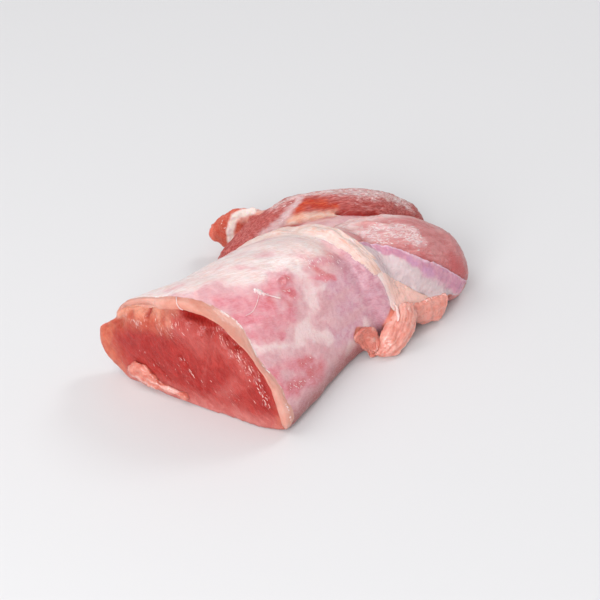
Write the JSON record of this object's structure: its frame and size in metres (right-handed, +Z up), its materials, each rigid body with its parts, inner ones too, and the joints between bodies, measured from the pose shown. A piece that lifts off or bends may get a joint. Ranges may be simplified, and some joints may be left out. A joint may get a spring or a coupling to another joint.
{
  "type": "raw pork tenderloin",
  "caption": "Thick end of a raw pork tenderloin with a straight cut face, silver skin, seam fat and trimmed side muscles, lying flat.",
  "frame": {"origin": "centre of the bounding box at its bottom, in the plane that the meat rests on", "axes": "+Y along the main muscle, from the cut face to the thin end; +Z up; the fat flaps are on the +X side"},
  "size_m": [0.1052, 0.149, 0.0435],
  "materials": {
    "raw_meat": "wet raw pork, pale silver skin and cream fat over rose-red flesh"
  },
  "bodies": {
    "root": {"tenderloin": "raw_meat"}
  },
  "joints": []
}
